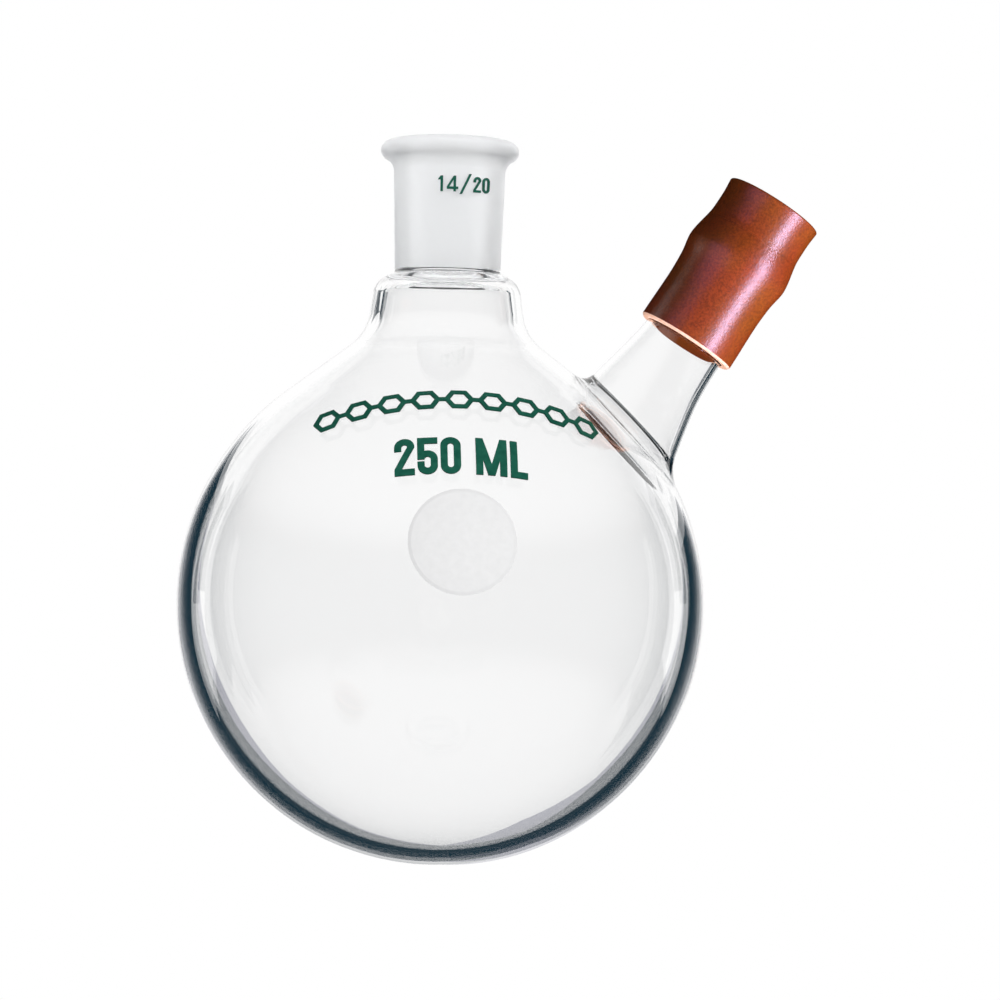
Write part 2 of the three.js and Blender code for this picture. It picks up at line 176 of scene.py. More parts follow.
def turned(name, outline, segments, materials, place=None, bulge=None):
    """A solid turned about +Z from an outline, closed on itself or ending on the axis.

    place is a turn and a shift into the flask's frame. bulge(points) gives a change of radius."""
    rings, corners, kinds = [], [], []
    for points, normals, material in outline:
        if not rings:
            rings.append(points[0])
        for n in range(len(points) - 1):
            start = len(rings) - 1
            rings.append(points[n + 1])
            corners.append((start, start + 1, normals[n], normals[n + 1]))
            kinds.append(material)
    closed = np.allclose(rings[0], rings[-1], atol=1e-6)
    if closed:
        rings.pop()
    turn = np.linspace(0, 2 * math.pi, segments, endpoint=False)
    cos, sin = np.cos(turn), np.sin(turn)
    vertices, first, pole = [], [], []
    for r, z in rings:
        first.append(len(vertices))
        pole.append(r < 1e-6)
        if pole[-1]:
            vertices.append((0.0, 0.0, z))
        else:
            vertices.extend(zip(r * cos, r * sin, [z] * segments))
    vertices = np.array(vertices)

    def vertex(ring, n):
        return first[ring] + (0 if pole[ring] else n % segments)

    def direction(normal, n):
        n %= segments
        return (normal[0] * cos[n], normal[0] * sin[n], normal[1])

    faces, loops, face_kinds = [], [], []
    for (a, b, na, nb), kind in zip(corners, kinds):
        b %= len(rings)
        for n in range(segments):
            face = [vertex(a, n), vertex(a, n + 1), vertex(b, n + 1), vertex(b, n)]
            normal = [direction(na, n), direction(na, n + 1), direction(nb, n + 1), direction(nb, n)]
            if pole[a]:
                del face[1], normal[1]
            elif pole[b]:
                del face[2], normal[2]
            faces.append(face)
            loops.extend(normal)
            face_kinds.append(kind)
    loops = np.array(loops)
    if bulge:
        vertices, loops = bulged(vertices, faces, loops, bulge)
    if place is not None:
        turn_part, shift = place
        vertices = vertices @ turn_part.T + shift
        loops = loops @ turn_part.T
    return new_object(name, vertices, faces, loops, face_kinds, materials)


def bulged(vertices, faces, loops, bulge):
    """Moves each point away from the axis by bulge(points), and turns the normals to suit."""
    radius = np.maximum(np.hypot(vertices[:, 0], vertices[:, 1]), 1e-9)
    out = np.stack([vertices[:, 0] / radius, vertices[:, 1] / radius, 0 * radius], axis=1)
    around = np.stack([-out[:, 1], out[:, 0], 0 * radius], axis=1)
    small = 0.01
    grown = bulge(vertices)
    by_height = (bulge(vertices + [0, 0, small]) - grown) / small
    by_turn = (bulge(vertices + around * small) - grown) / small
    at = np.concatenate([np.array(face) for face in faces])
    n_out = np.einsum("ij,ij->i", loops, out[at])
    n_round = np.einsum("ij,ij->i", loops, around[at]) - n_out * by_turn[at]
    n_up = loops[:, 2] - n_out * by_height[at]
    made = n_out[:, None] * out[at] + n_round[:, None] * around[at]
    made[:, 2] += n_up
    made /= np.linalg.norm(made, axis=1, keepdims=True)
    return vertices + grown[:, None] * out, made


def port_place(start=0.0):
    """The turn and the shift from a frame on the port's axis, whose +Z runs out along the port."""
    across = np.array([0.0, 1.0, 0.0])
    return np.stack([SIDE, across, AXIS], axis=1), PORT_ORIGIN + start * AXIS


# ------------------------------------------------------------------ shape of the glass


def normal_between(a, b, side):
    """Direction, in radians from +r, of the normal of the line that touches circles a and b."""
    between = math.atan2(b[1] - a[1], b[0] - a[0])
    distance = math.hypot(b[0] - a[0], b[1] - a[1])
    return between + side * math.acos((a[2] + b[2]) / distance)


BULB_CIRCLE = (0.0, BULB_Z, BULB_R)
FLARE_CIRCLE = (FLARE_R, FLARE_Z, FLARE_RADIUS)
SHOULDER_CIRCLE = (SHOULDER_R, SHOULDER_Z, SHOULDER_RADIUS)
SLOPE_NORMAL = normal_between(BULB_CIRCLE, FLARE_CIRCLE, -1)
NECK_NORMAL = normal_between(SHOULDER_CIRCLE, FLARE_CIRCLE, 1)


def body_distance(p):
    """Distance outside the bulb and its shoulder slope."""
    r, z = np.hypot(p[:, 0], p[:, 1]), p[:, 2]
    cos, sin = math.cos(SLOPE_NORMAL), math.sin(SLOPE_NORMAL)
    along = (z - BULB_Z) * cos - r * sin
    flare_along = (FLARE_Z - BULB_Z) * cos - FLARE_R * sin
    bulb = np.hypot(r, z - BULB_Z) - BULB_R
    slope = r * cos + (z - BULB_Z) * sin - BULB_R
    flare = FLARE_RADIUS - np.hypot(r - FLARE_R, z - FLARE_Z)
    return np.where(along < 0, bulb, np.where(along < flare_along, slope, flare))


def foot_spread(along, cosine):
    """How much wider the port is than its plain tube, at a distance along it and a way round it."""
    drop = PORT_FOOT_START - PORT_FOOT_LEAN * cosine - along
    return PORT_FOOT_SLOPE * 0.5 * (drop + np.hypot(drop, PORT_FOOT_BEND))


def port_distance(p, radius):
    """Distance outside the port's tube with its spread foot."""
    from_origin = p - PORT_ORIGIN
    along = from_origin @ AXIS
    side = from_origin @ SIDE
    out = np.maximum(np.hypot(side, p[:, 1]), 1e-9)
    wall = (out - radius - foot_spread(along, side / out)) * PORT_FOOT_SCALE
    return np.maximum(wall, PORT_FOOT_END - along)


def round_union(a, b, radius):
    """Two distances joined with a hollow fillet."""
    reach = np.hypot(np.maximum(radius - a, 0), np.maximum(radius - b, 0))
    return np.maximum(radius, np.minimum(a, b)) - reach


def outer_glass(p):
    """Distance outside the glass of the bulb and the port."""
    return round_union(body_distance(p), port_distance(p, PORT_R), WELD_FILLET)


def bulb_wall(z):
    """The wall's thickness, which the blown glass gathers towards the bottom."""
    rise = np.clip((z - BULB_Z) / BULB_R / 1.8 + 0.5, 0, 1)
    return WALL_BOTTOM + (WALL - WALL_BOTTOM) * rise * rise * (3 - 2 * rise)


def inner_glass(p):
    """Distance outside the hollow of the bulb and the port."""
    inside = port_distance(p, PORT_R - PORT_WALL)
    return round_union(body_distance(p) + bulb_wall(p[:, 2]), inside, INNER_WELD_FILLET)


def slope_of(distance, p, small=0.01):
    """The unit direction in which a distance grows."""
    grown = [distance(p + small * axis) - distance(p - small * axis) for axis in np.eye(3)]
    gradient = np.stack(grown, axis=1)
    return gradient / np.linalg.norm(gradient, axis=1, keepdims=True)


def surface_net(distance, low, high, step):
    """Even quads on the surface where the distance is 0, facing outward."""
    low, high = np.array(low, float), np.array(high, float)
    count = np.ceil((high - low) / step).astype(int) + 1
    axes = [low[k] + step * np.arange(count[k]) for k in range(3)]
    grid = np.stack(np.meshgrid(*axes, indexing="ij"), axis=-1).reshape(-1, 3)
    inside = (distance(grid) < 0).reshape(count)
    cells = count - 1
    filled = np.zeros(cells, int)
    for i, j, k in np.ndindex(2, 2, 2):
        filled += inside[i : i + cells[0], j : j + cells[1], k : k + cells[2]]
    mixed = (filled > 0) & (filled < 8)
    index = np.full(cells, -1)
    index[mixed] = np.arange(mixed.sum())
    points = low + step * (np.argwhere(mixed) + 0.5)
    quads = []
    for axis in range(3):
        b, c = (axis + 1) % 3, (axis + 2) % 3
        lower, upper = [slice(None)] * 3, [slice(None)] * 3
        lower[axis], upper[axis] = slice(0, -1), slice(1, None)
        starts_inside = inside[tuple(lower)]
        at = np.argwhere(starts_inside != inside[tuple(upper)])
        kept = (at[:, b] > 0) & (at[:, b] < cells[b]) & (at[:, c] > 0) & (at[:, c] < cells[c])
        at = at[kept]
        eb, ec = np.eye(3, dtype=int)[b], np.eye(3, dtype=int)[c]
        ring = [at - eb - ec, at - ec, at, at - eb]
        quad = np.stack([index[tuple(cell.T)] for cell in ring], axis=1)
        outward = starts_inside[tuple(at.T)]
        quads.append(np.where(outward[:, None], quad, quad[:, ::-1]))
    quads = np.vstack(quads)
    return relaxed(distance, points, quads), quads


def relaxed(distance, points, quads, rounds=8):
    """Moves points onto the surface and spreads them evenly over it."""
    pairs = np.vstack([quads[:, [n, (n + 1) % 4]] for n in range(4)])
    degree = np.bincount(pairs[:, 0], minlength=len(points)).astype(float)
    degree += np.bincount(pairs[:, 1], minlength=len(points))
    degree = np.maximum(degree, 1)
    for _ in range(rounds):
        for _ in range(2):
            points = points - distance(points)[:, None] * slope_of(distance, points)
        total = np.zeros_like(points)
        for k in range(3):
            total[:, k] = np.bincount(pairs[:, 0], points[pairs[:, 1], k], len(points))
            total[:, k] += np.bincount(pairs[:, 1], points[pairs[:, 0], k], len(points))
        move = total / degree[:, None] - points
        normal = slope_of(distance, points)
        move -= np.einsum("ij,ij->i", move, normal)[:, None] * normal
        points = points + 0.6 * move
    for _ in range(3):
        points = points - distance(points)[:, None] * slope_of(distance, points)
    return points


# ------------------------------------------------------------------ glass pieces


def bulb_piece(materials):
    """The blown bulb with the foot of the port, as one wall with an outer and an inner surface."""
    outer, outer_quads = surface_net(outer_glass, *BULB_BOX, GRID)
    inner, inner_quads = surface_net(inner_glass, *BULB_BOX, GRID)
    quads = np.vstack([outer_quads, inner_quads[:, ::-1] + len(outer)])
    sheet = bpy.data.meshes.new("bulb_sheet")
    sheet.from_pydata(np.vstack([outer, inner]).tolist(), [], quads.tolist())
    work = bmesh.new()
    work.from_mesh(sheet)
    bpy.data.meshes.remove(sheet)
    cuts = [
        (Vector((0, 0, SEAM_Z)), Vector((0, 0, 1))),
        (Vector(PORT_ORIGIN + PORT_SEAM * AXIS), Vector(AXIS)),
    ]
    for place, normal in cuts:
        everything = work.verts[:] + work.edges[:] + work.faces[:]
        cut = bmesh.ops.bisect_plane(
            work, geom=everything, dist=1e-5, plane_co=place, plane_no=normal, clear_outer=True
        )
        edges = [e for e in cut["geom_cut"] if isinstance(e, bmesh.types.BMEdge)]
        cap = bmesh.ops.triangle_fill(work, edges=edges, use_beauty=True, normal=normal)
        for face in cap["geom"]:
            if isinstance(face, bmesh.types.BMFace):
                face.normal_update()
                if face.normal.dot(normal) < 0:
                    face.normal_flip()
                face.material_index = 1
    work.verts.index_update()
    points = np.array([v.co for v in work.verts])
    faces = [[v.index for v in f.verts] for f in work.faces]
    kinds = [f.material_index for f in work.faces]
    flat = np.array([f.normal for f in work.faces for _ in f.verts])
    work.free()
    outside = np.abs(outer_glass(points)) < np.abs(inner_glass(points))
    normals = np.where(
        outside[:, None], slope_of(outer_glass, points), -slope_of(inner_glass, points)
    )
    at = np.concatenate([np.array(face) for face in faces])
    is_cap = np.repeat(kinds, [len(face) for face in faces])
    loops = np.where(is_cap[:, None] == 1, flat, normals[at])
    return new_object("bulb_glass", points, faces, loops, kinds, materials)


def flare_point(offset, angle):
    """A point on the hollow curve, with the surface moved outward by offset."""
    radius = FLARE_RADIUS - offset
    return (FLARE_R + radius * math.cos(angle), FLARE_Z + radius * math.sin(angle))


def shoulder_point(offset, angle):
    """A point on the shoulder's curve, with the surface moved outward by offset."""
    radius = SHOULDER_RADIUS + offset
    return (SHOULDER_R + radius * math.cos(angle), SHOULDER_Z + radius * math.sin(angle))


def tube_radius(z):
    """The outside of the joint's tube, which widens a little towards the rim."""
    return TUBE_R + TUBE_SLOPE * (z - TUBE_FOOT_Z)


def fillet_height(circle, radius, wall, side):
    """Height of the centre of a fillet that touches a circle and stands beside an upright wall."""
    across = wall + radius - circle[0]
    return circle[1] + side * math.sqrt((circle[2] + radius) ** 2 - across**2)


NECK_TUBE_R = tube_radius(TUBE_LOW_Z)
NECK_TOP = fillet_height(SHOULDER_CIRCLE, SHOULDER_FILLET, NECK_TUBE_R, 1)


def neck_piece(materials):
    """The hollow curve above the bulb and the round shoulder that carries the joint."""
    outer_seam = math.asin((FLARE_Z - SEAM_Z) / FLARE_RADIUS) - math.pi
    inner_seam = math.asin((FLARE_Z - SEAM_Z) / (FLARE_RADIUS + WALL)) - math.pi
    end = NECK_NORMAL - math.pi
    deg = math.degrees
    fillet_r = NECK_TUBE_R + SHOULDER_FILLET
    meet = math.atan2(NECK_TOP - SHOULDER_Z, fillet_r - SHOULDER_R)
    outline = [
        arc(FLARE_R, FLARE_Z, FLARE_RADIUS, deg(outer_seam), deg(end), 2.5),
        line(flare_point(0, end), shoulder_point(0, NECK_NORMAL), 4),
        arc(*SHOULDER_CIRCLE, deg(NECK_NORMAL), deg(meet), 4),
        arc(fillet_r, NECK_TOP, SHOULDER_FILLET, deg(meet) + 180, 180, 8),
        line((NECK_TUBE_R, NECK_TOP), (BORE_R, NECK_TOP), 1, 1),
        line((BORE_R, NECK_TOP), (BORE_R, LEDGE_Z + LEDGE_ROUND), 2),
        arc(BORE_R + LEDGE_ROUND, LEDGE_Z + LEDGE_ROUND, LEDGE_ROUND, 180, 270, 9),
        line((BORE_R + LEDGE_ROUND, LEDGE_Z), (SHOULDER_R, LEDGE_Z), 2),
        arc(SHOULDER_R, SHOULDER_Z, SHOULDER_RADIUS - WALL, 90, deg(NECK_NORMAL), 5),
        line(shoulder_point(-WALL, NECK_NORMAL), flare_point(-WALL, end), 4),
        arc(FLARE_R, FLARE_Z, FLARE_RADIUS + WALL, deg(end), deg(inner_seam), 2.5),
        line(flare_point(-WALL, inner_seam), flare_point(0, outer_seam), 1, 1),
    ]
    return turned("neck_glass", outline, 192, materials)


def joint_piece(materials):
    """The joint's tube, frosted all over, with the ground taper in its bore and a rolled rim."""
    fillet_z = fillet_height((RIM_R, RIM_Z, RIM_RADIUS), RIM_FILLET, tube_radius(TUBE_HIGH_Z), -1)
    wall = tube_radius(fillet_z)
    fillet_r = wall + RIM_FILLET
    meet = math.degrees(math.atan2(RIM_Z - fillet_z, RIM_R - fillet_r))
    top = RIM_Z + RIM_RADIUS
    outline = [
        line((NECK_TUBE_R, NECK_TOP), (wall, fillet_z), 12, 2),
        arc(fillet_r, fillet_z, RIM_FILLET, 180, meet, 5, 2),
        arc(RIM_R, RIM_Z, RIM_RADIUS, meet - 180, 90, 5, 2),
        line((RIM_R, top), (GROUND_TOP_R + MOUTH_ROUND, top), 2, 2),
        arc(GROUND_TOP_R + MOUTH_ROUND, top - MOUTH_ROUND, MOUTH_ROUND, 90, 180, 6, 2),
        line((GROUND_TOP_R, GROUND_TOP_Z), (BORE_R, GROUND_BOTTOM_Z), 20, 2),
        line((BORE_R, GROUND_BOTTOM_Z), (BORE_R, NECK_TOP), 1),
        line((BORE_R, NECK_TOP), (NECK_TUBE_R, NECK_TOP), 1, 1),
    ]
    return turned("joint_glass", outline, 192, materials)


def port_piece(materials):
    """The plain tube of the port, with the tooled bead round its mouth."""
    bead_z = PORT_MOUTH - BEAD_HEIGHT / 2
    bead_r = BEAD_R - BEAD_HEIGHT / 2
    inner = PORT_R - PORT_WALL
    lip = PORT_WALL / 2
    start = math.degrees(math.acos((PORT_R - bead_r) / (BEAD_HEIGHT / 2)))
    bead_foot = bead_z - BEAD_HEIGHT / 2 * math.sin(math.radians(start))
    outline = [
        line((PORT_R, PORT_SEAM), (PORT_R, bead_foot), 30),
        arc(bead_r, bead_z, BEAD_HEIGHT / 2, -start, 90, 8),
        line((bead_r, PORT_MOUTH), (inner + lip, PORT_MOUTH), 1),
        arc(inner + lip, PORT_MOUTH - lip, lip, 90, 180, 10),
        line((inner, PORT_MOUTH - lip), (inner, PORT_SEAM), 30),
        line((inner, PORT_SEAM), (PORT_R, PORT_SEAM), 1, 1),
    ]

    def bulge(points):
        out = np.maximum(np.hypot(points[:, 0], points[:, 1]), 1e-9)
        return foot_spread(points[:, 2], points[:, 0] / out)

    return turned("port_glass", outline, 144, materials, port_place(), bulge)


# ------------------------------------------------------------------ septum pieces


def plug_piece(materials):
    """The plug in the port's bore, and the head with its needle dish."""
    dish_z = HEAD_TOP - DISH_DEPTH
    crisp_z = HEAD_TOP - HEAD_CRISP
    outline = [
        # The plug's end and its sides in the bore use the rubber darkened to half: a painted shade inside
        # the port.
        line((0, PLUG_END), (PLUG_R - PLUG_ROUND, PLUG_END), 3, 1),
        arc(PLUG_R - PLUG_ROUND, PLUG_END + PLUG_ROUND, PLUG_ROUND, -90, 0, 10, 1),
        line((PLUG_R, PLUG_END + PLUG_ROUND), (PLUG_R, SHELF), 6, 1),
        line((PLUG_R, SHELF), (STEP_R, SHELF), 1),
        line((STEP_R, SHELF), (STEP_R, STEP), 1),
        line((STEP_R, STEP), (SKIRT_TOP_R, STEP), 1),
        spline([(SKIRT_TOP_R, STEP), (8.14, 21.0), (8.12, 24.0), (HEAD_R, crisp_z)], 6),
        arc(HEAD_R - HEAD_CRISP, crisp_z, HEAD_CRISP, 0, 90, 12),
        line((HEAD_R - HEAD_CRISP, HEAD_TOP), (DISH_R + HEAD_CRISP, HEAD_TOP), 2),
        arc(DISH_R + HEAD_CRISP, crisp_z, HEAD_CRISP, 90, 180, 12),
        line((DISH_R, crisp_z), (DISH_R, dish_z + HEAD_CRISP), 1),
        arc(DISH_R - HEAD_CRISP, dish_z + HEAD_CRISP, HEAD_CRISP, 0, -90, 12),
        spline([(DISH_R - HEAD_CRISP, dish_z), (2.0, 24.75), (0, 24.95)], 6),
    ]
    return turned("septum_plug_rubber", outline, 144, materials, port_place(SKIRT_EDGE))


def skirt_piece(materials):
    """The sleeve folded down over the bead, with a paler cut edge that is partly painted highlight."""
    edge_r = SKIRT_SIDE[0][0]
    narrow_to = SKIRT_WIDE_FROM - 1.2
    outline = [
        line((SKIRT_BORE, 0), (edge_r - SKIRT_BEVEL, 0), 1, 1),
        line((edge_r - SKIRT_BEVEL, 0), (edge_r, SKIRT_BEVEL), 1, 1),
        spline(SKIRT_SIDE, 8),
        line((SKIRT_TOP_R, SKIRT_LENGTH), (SKIRT_BORE_OVER_BEAD, SKIRT_LENGTH), 1),
        line((SKIRT_BORE_OVER_BEAD, SKIRT_LENGTH), (SKIRT_BORE_OVER_BEAD, SKIRT_WIDE_FROM), 6),
        line((SKIRT_BORE_OVER_BEAD, SKIRT_WIDE_FROM), (SKIRT_BORE, narrow_to), 2),
        line((SKIRT_BORE, narrow_to), (SKIRT_BORE, 0), 3),
    ]
    return turned("septum_skirt_rubber", outline, 144, materials, port_place(SKIRT_EDGE))


# ------------------------------------------------------------------ fired marks


def spot_piece(materials):
    """A thin round cap of white enamel with a soft edge."""
    inner, outer = BULB_R + ENAMEL_LIFT, BULB_R + ENAMEL
    edge = 90 - math.degrees(SPOT_RADIUS / BULB_R)
    soft = edge + math.degrees(SPOT_SOFT_EDGE / BULB_R)
    rim = [math.radians(a) for a in (edge, soft)]
    outline = [
        arc(0, 0, inner, 90, edge, 1.5),
        line(
            (inner * math.cos(rim[0]), inner * math.sin(rim[0])),
            (outer * math.cos(rim[1]), outer * math.sin(rim[1])),
        ),
        arc(0, 0, outer, soft, 90, 1.5),
    ]
    for points, _, _ in outline:
        points[np.abs(points[:, 0]) < 1e-9, 0] = 0
    tip = Matrix.Rotation(PRINT_LONGITUDE, 3, "Z") @ Matrix.Rotation(math.pi / 2 - SPOT_LATITUDE, 3, "X")
    place = np.array(tip), np.array([0.0, 0.0, BULB_Z])
    return turned("marking_spot_enamel", outline, 96, materials, place)


# ------------------------------------------------------------------ materials


class Shader:
    """A new material's node tree, with short ways to add nodes and links."""

    def __init__(self, name):
        self.material = bpy.data.materials.new(name)
        self.material.use_nodes = True
        self.tree = self.material.node_tree
        self.tree.nodes.clear()
        self.output = self.tree.nodes.new("ShaderNodeOutputMaterial")

    def add(self, kind, **settings):
        node = self.tree.nodes.new(kind)
        for name, value in settings.items():
            if name in node.inputs:
                node.inputs[name].default_value = value
            else:
                setattr(node, name, value)
        return node

    def link(self, start, end):
        self.tree.links.new(start, end)

    def principled(self, **inputs):
        node = self.add("ShaderNodeBsdfPrincipled")
        for name, value in inputs.items():
            node.inputs[name.replace("_", " ")].default_value = value
        self.link(node.outputs[0], self.output.inputs["Surface"])
        return node

    def noise(self, scale, detail=2.0, roughness=0.5):
        place = self.add("ShaderNodeTexCoord")
        node = self.add("ShaderNodeTexNoise")
        node.inputs["Scale"].default_value = scale
        node.inputs["Detail"].default_value = detail
        node.inputs["Roughness"].default_value = roughness
        self.link(place.outputs["Object"], node.inputs["Vector"])
        return node.outputs["Fac"]

    def ramp(self, factor, *stops):
        node = self.add("ShaderNodeValToRGB")
        marks = node.color_ramp.elements
        while len(marks) < len(stops):
            marks.new(0.5)
        for mark, (place, colour) in zip(marks, stops):
            mark.position = place
            mark.color = (*colour, 1)
        self.link(factor, node.inputs["Fac"])
        return node.outputs["Color"]

    def bump(self, height, strength, depth):
        node = self.add("ShaderNodeBump")
        node.inputs["Strength"].default_value = strength
        node.inputs["Distance"].default_value = depth
        self.link(height, node.inputs["Height"])
        return node.outputs["Normal"]


GLASS_IOR = 1.473


def clear_glass():
    """Plain borosilicate glass."""
    shader = Shader("clear_glass")
    shader.principled(
        Base_Color=(1, 1, 1, 1), Roughness=0.0, IOR=GLASS_IOR, Transmission_Weight=1.0
    )
    return shader.material


def ground_glass():
    """The frosted glass of the joint, with a fine matt tooth."""
    shader = Shader("ground_glass")
    main = shader.principled(
        Base_Color=(0.97, 0.975, 0.98, 1), Roughness=0.3, IOR=GLASS_IOR, Transmission_Weight=0.5
    )
    grain = shader.ramp(shader.noise(2500, 3), (0.3, (0.28,) * 3), (0.7, (0.31,) * 3))
    shader.link(grain, main.inputs["Roughness"])
    return shader.material


def weld_face():
    """The face that two welded pieces of glass share. Nothing shows there, so it is fully clear."""
    shader = Shader("weld_face")
    clear = shader.add("ShaderNodeBsdfTransparent")
    shader.link(clear.outputs[0], shader.output.inputs["Surface"])
    return shader.material


def red_rubber(name="red_rubber", pale=False, shine=1.0, depth=1.0):
    """Red rubber with cloudy, speckled colour, or the pale pink of its cut edge, partly its own colour and
    partly painted highlight.
    """
    shader = Shader(name)
    main = shader.principled(Roughness=0.29, IOR=1.5, Specular_IOR_Level=shine)
    if pale:
        # Pale peach for the cut edge: partly the cut rubber's own colour, partly painted highlight where
        # the edge catches light.
        colour = shader.ramp(
            shader.noise(1500, 2), (0.3, (0.85, 0.5, 0.36)), (0.7, (0.95, 0.66, 0.52))
        )
    else:
        cloud = shader.ramp(
            shader.noise(110, 2), (0.35, (0.26, 0.045, 0.008)), (0.65, (0.24, 0.060, 0.004))
        )
        # depth below 1 darkens the rubber's colour: a painted shade.
        dark, light = np.array([(0.62, 0.62, 0.66), (1.15, 1.12, 1.1)]) * depth
        speck = shader.ramp(shader.noise(2600, 4, 0.7), (0.38, dark), (0.62, light))
        mix = shader.add("ShaderNodeMix", data_type="RGBA", blend_type="MULTIPLY")
        mix.inputs["Factor"].default_value = 1.0
        shader.link(cloud, mix.inputs["A"])
        shader.link(speck, mix.inputs["B"])
        colour = mix.outputs["Result"]
    shader.link(colour, main.inputs["Base Color"])
    shader.link(shader.bump(shader.noise(2200, 4, 0.65), 0.35, 0.00012), main.inputs["Normal"])
    return shader.material


def enamel(name, dark, light, rough=0.55):
    """Fired enamel, with small changes of depth from the printing."""
    shader = Shader(name)
    main = shader.principled(Roughness=rough, IOR=1.5)
    shader.link(
        shader.ramp(shader.noise(900, 4, 0.6), (0.3, dark), (0.7, light)), main.inputs["Base Color"]
    )
    shader.link(shader.bump(shader.noise(2500, 3), 0.25, 0.00004), main.inputs["Normal"])
    return shader.material


# ------------------------------------------------------------------ the flask

CLEAR = clear_glass()
GROUND = ground_glass()
WELD = weld_face()
RUBBER = red_rubber()
# The cut edge: pale rubber that is partly painted highlight.
RUBBER_CUT_LIT = red_rubber("red_rubber_cut_painted_highlight", pale=True)
# The plug inside the port: the rubber darkened to half and without gloss, a painted shade.
RUBBER_PLUG_SHADED = red_rubber("red_rubber_plug_painted_shade", shine=0.0, depth=0.5)
GREEN = enamel("green_enamel", (0.006, 0.085, 0.055), (0.016, 0.13, 0.085))
WHITE = enamel("white_enamel", (0.80, 0.80, 0.80), (0.84, 0.84, 0.84), 0.7)


def place_piece(obj, body, node):
    """Puts a piece on its body, in place of its plain node."""
    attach(obj, body)
    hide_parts(node)
    return obj


bulb = place_piece(bulb_piece([CLEAR, WELD]), "flask", "bulb")
neck = place_piece(neck_piece([CLEAR, WELD]), "flask", "neck")
joint = place_piece(joint_piece([CLEAR, WELD, GROUND]), "flask", "ground_joint")
port = place_piece(port_piece([CLEAR, WELD]), "flask", "side_port")
plug = place_piece(plug_piece([RUBBER, RUBBER_PLUG_SHADED]), "septum", "septum_plug")
skirt = place_piece(skirt_piece([RUBBER, RUBBER_CUT_LIT]), "skirt", "septum_skirt")
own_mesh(skirt)
spot = place_piece(spot_piece([WHITE]), "flask", "marking_spot")

marks = []
for name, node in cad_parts.items():
    if name.startswith(("capacity_", "size_", "label_")):
        node.data.materials.clear()
        node.data.materials.append(GREEN)
        marks.append(node)

# ------------------------------------------------------------------ camera

CAMERA_DISTANCE = 0.558
CAMERA_LENS = 124.07
CAMERA_YAW = math.radians(0.954)
CAMERA_PITCH = math.radians(1.740)
CAMERA_ROLL = math.radians(1.2)

camera_data = bpy.data.cameras.new("camera")
camera_data.lens = CAMERA_LENS
camera_data.clip_start = 0.01
camera_data.clip_end = 50
camera = bpy.data.objects.new("camera", camera_data)
bpy.context.scene.collection.objects.link(camera)
camera.matrix_world = (
    Matrix.Translation((0, -CAMERA_DISTANCE, BULB_Z * MM))
    @ Matrix.Rotation(-CAMERA_YAW, 4, "Z")
    @ Matrix.Rotation(math.pi / 2 + CAMERA_PITCH, 4, "X")
    @ Matrix.Rotation(CAMERA_ROLL, 4, "Z")
)
bpy.context.scene.camera = camera

# ------------------------------------------------------------------ studio

# The lamps and the backdrop keep their places beside the camera, as when an object is turned on a
# table in front of a fixed set.


def lit_group(name, *objects):
    """A group of objects that lamps or cards can be limited to."""
    group = bpy.data.collections.new(name)
    for obj in objects:
        group.objects.link(obj)
    return group


RUBBER_PARTS = lit_group("rubber_parts", plug, skirt)
MARKED_PARTS = lit_group("marked_parts", spot, *marks)
GROUND_PARTS = lit_group("ground_parts", joint)
OPAQUE_PARTS = lit_group("opaque_parts", plug, skirt, spot, *marks)
GLASS_PARTS = lit_group("glass_parts", bulb, neck, joint, port)


WHITE_CARD = (1.0, 1.0, 1.0)
LILAC_CARD = (0.44, 0.44, 0.51)
NAVY_CARD = (0.010, 0.030, 0.045)

# In metres.
BACKDROP = 3.2  # behind the flask
SCREEN = 0.25  # behind the flask, for the dark screens that draw the glass's edges
SCREEN_SPACING = 0.004
SCREEN_OUTER = 0.29  # from the bulb's middle to the screens' outer edge
CEILING_HEIGHT, CEILING_REACH = 3.0, 9.0
CEILING_FADE = 4.0, 9.5  # from the middle
FLOOR = 6.0  # from the middle to each side
FLOOR_DROP = 0.0003


def emission(name, colour):
    """An even glow of one colour."""
    shader = Shader(name)
    glow = shader.add("ShaderNodeEmission")
    glow.inputs["Color"].default_value = (*colour, 1)
    glow.inputs["Strength"].default_value = 1.0
    shader.link(glow.outputs[0], shader.output.inputs["Surface"])
    return shader.material


def glass_only(name, mesh):
    """A glowing card that nothing but the glass sees."""
    card = bpy.data.objects.new(name, mesh)
    bpy.context.scene.collection.objects.link(card)
    card.visible_camera = False
    card.visible_diffuse = False
    card.visible_shadow = False
    card.light_linking.receiver_collection = GLASS_PARTS
    return card


def behind_flask(name, corners, distance, colour):
    """A flat card behind the flask that only the glass sees.

    Corners are in metres, right of and above the bulb's middle: one edge of the card, and then the
    other edge backwards, with as many points in each."""
    reach = CAMERA_DISTANCE + distance
    centre_x = -reach * math.tan(CAMERA_YAW)
    centre_y = -reach * math.tan(CAMERA_PITCH)
    mesh = bpy.data.meshes.new(name)
    points = [(centre_x + x, centre_y + y, -reach) for x, y in corners]
    half = len(corners) // 2
    strip = [(n, n + 1, 2 * half - 2 - n, 2 * half - 1 - n) for n in range(half - 1)]
    mesh.from_pydata(points, [], strip)
    mesh.materials.append(emission(name, colour))
    card = glass_only(name, mesh)
    card.parent = camera


def backdrop_card(name, left, right, low, high, colour, nearer=0.0):
    """A far card between angles seen from the flask, in degrees."""
    distance = BACKDROP - nearer
    x0, x1, y0, y1 = (distance * math.tan(math.radians(a)) for a in (left, right, low, high))
    return behind_flask(name, [(x0, y0), (x1, y0), (x1, y1), (x0, y1)], distance, colour)


def square(reach, height):
    """The corners of a level square about the origin."""
    return [(x * reach, y * reach, height) for x, y in ((-1, -1), (1, -1), (1, 1), (-1, 1))]


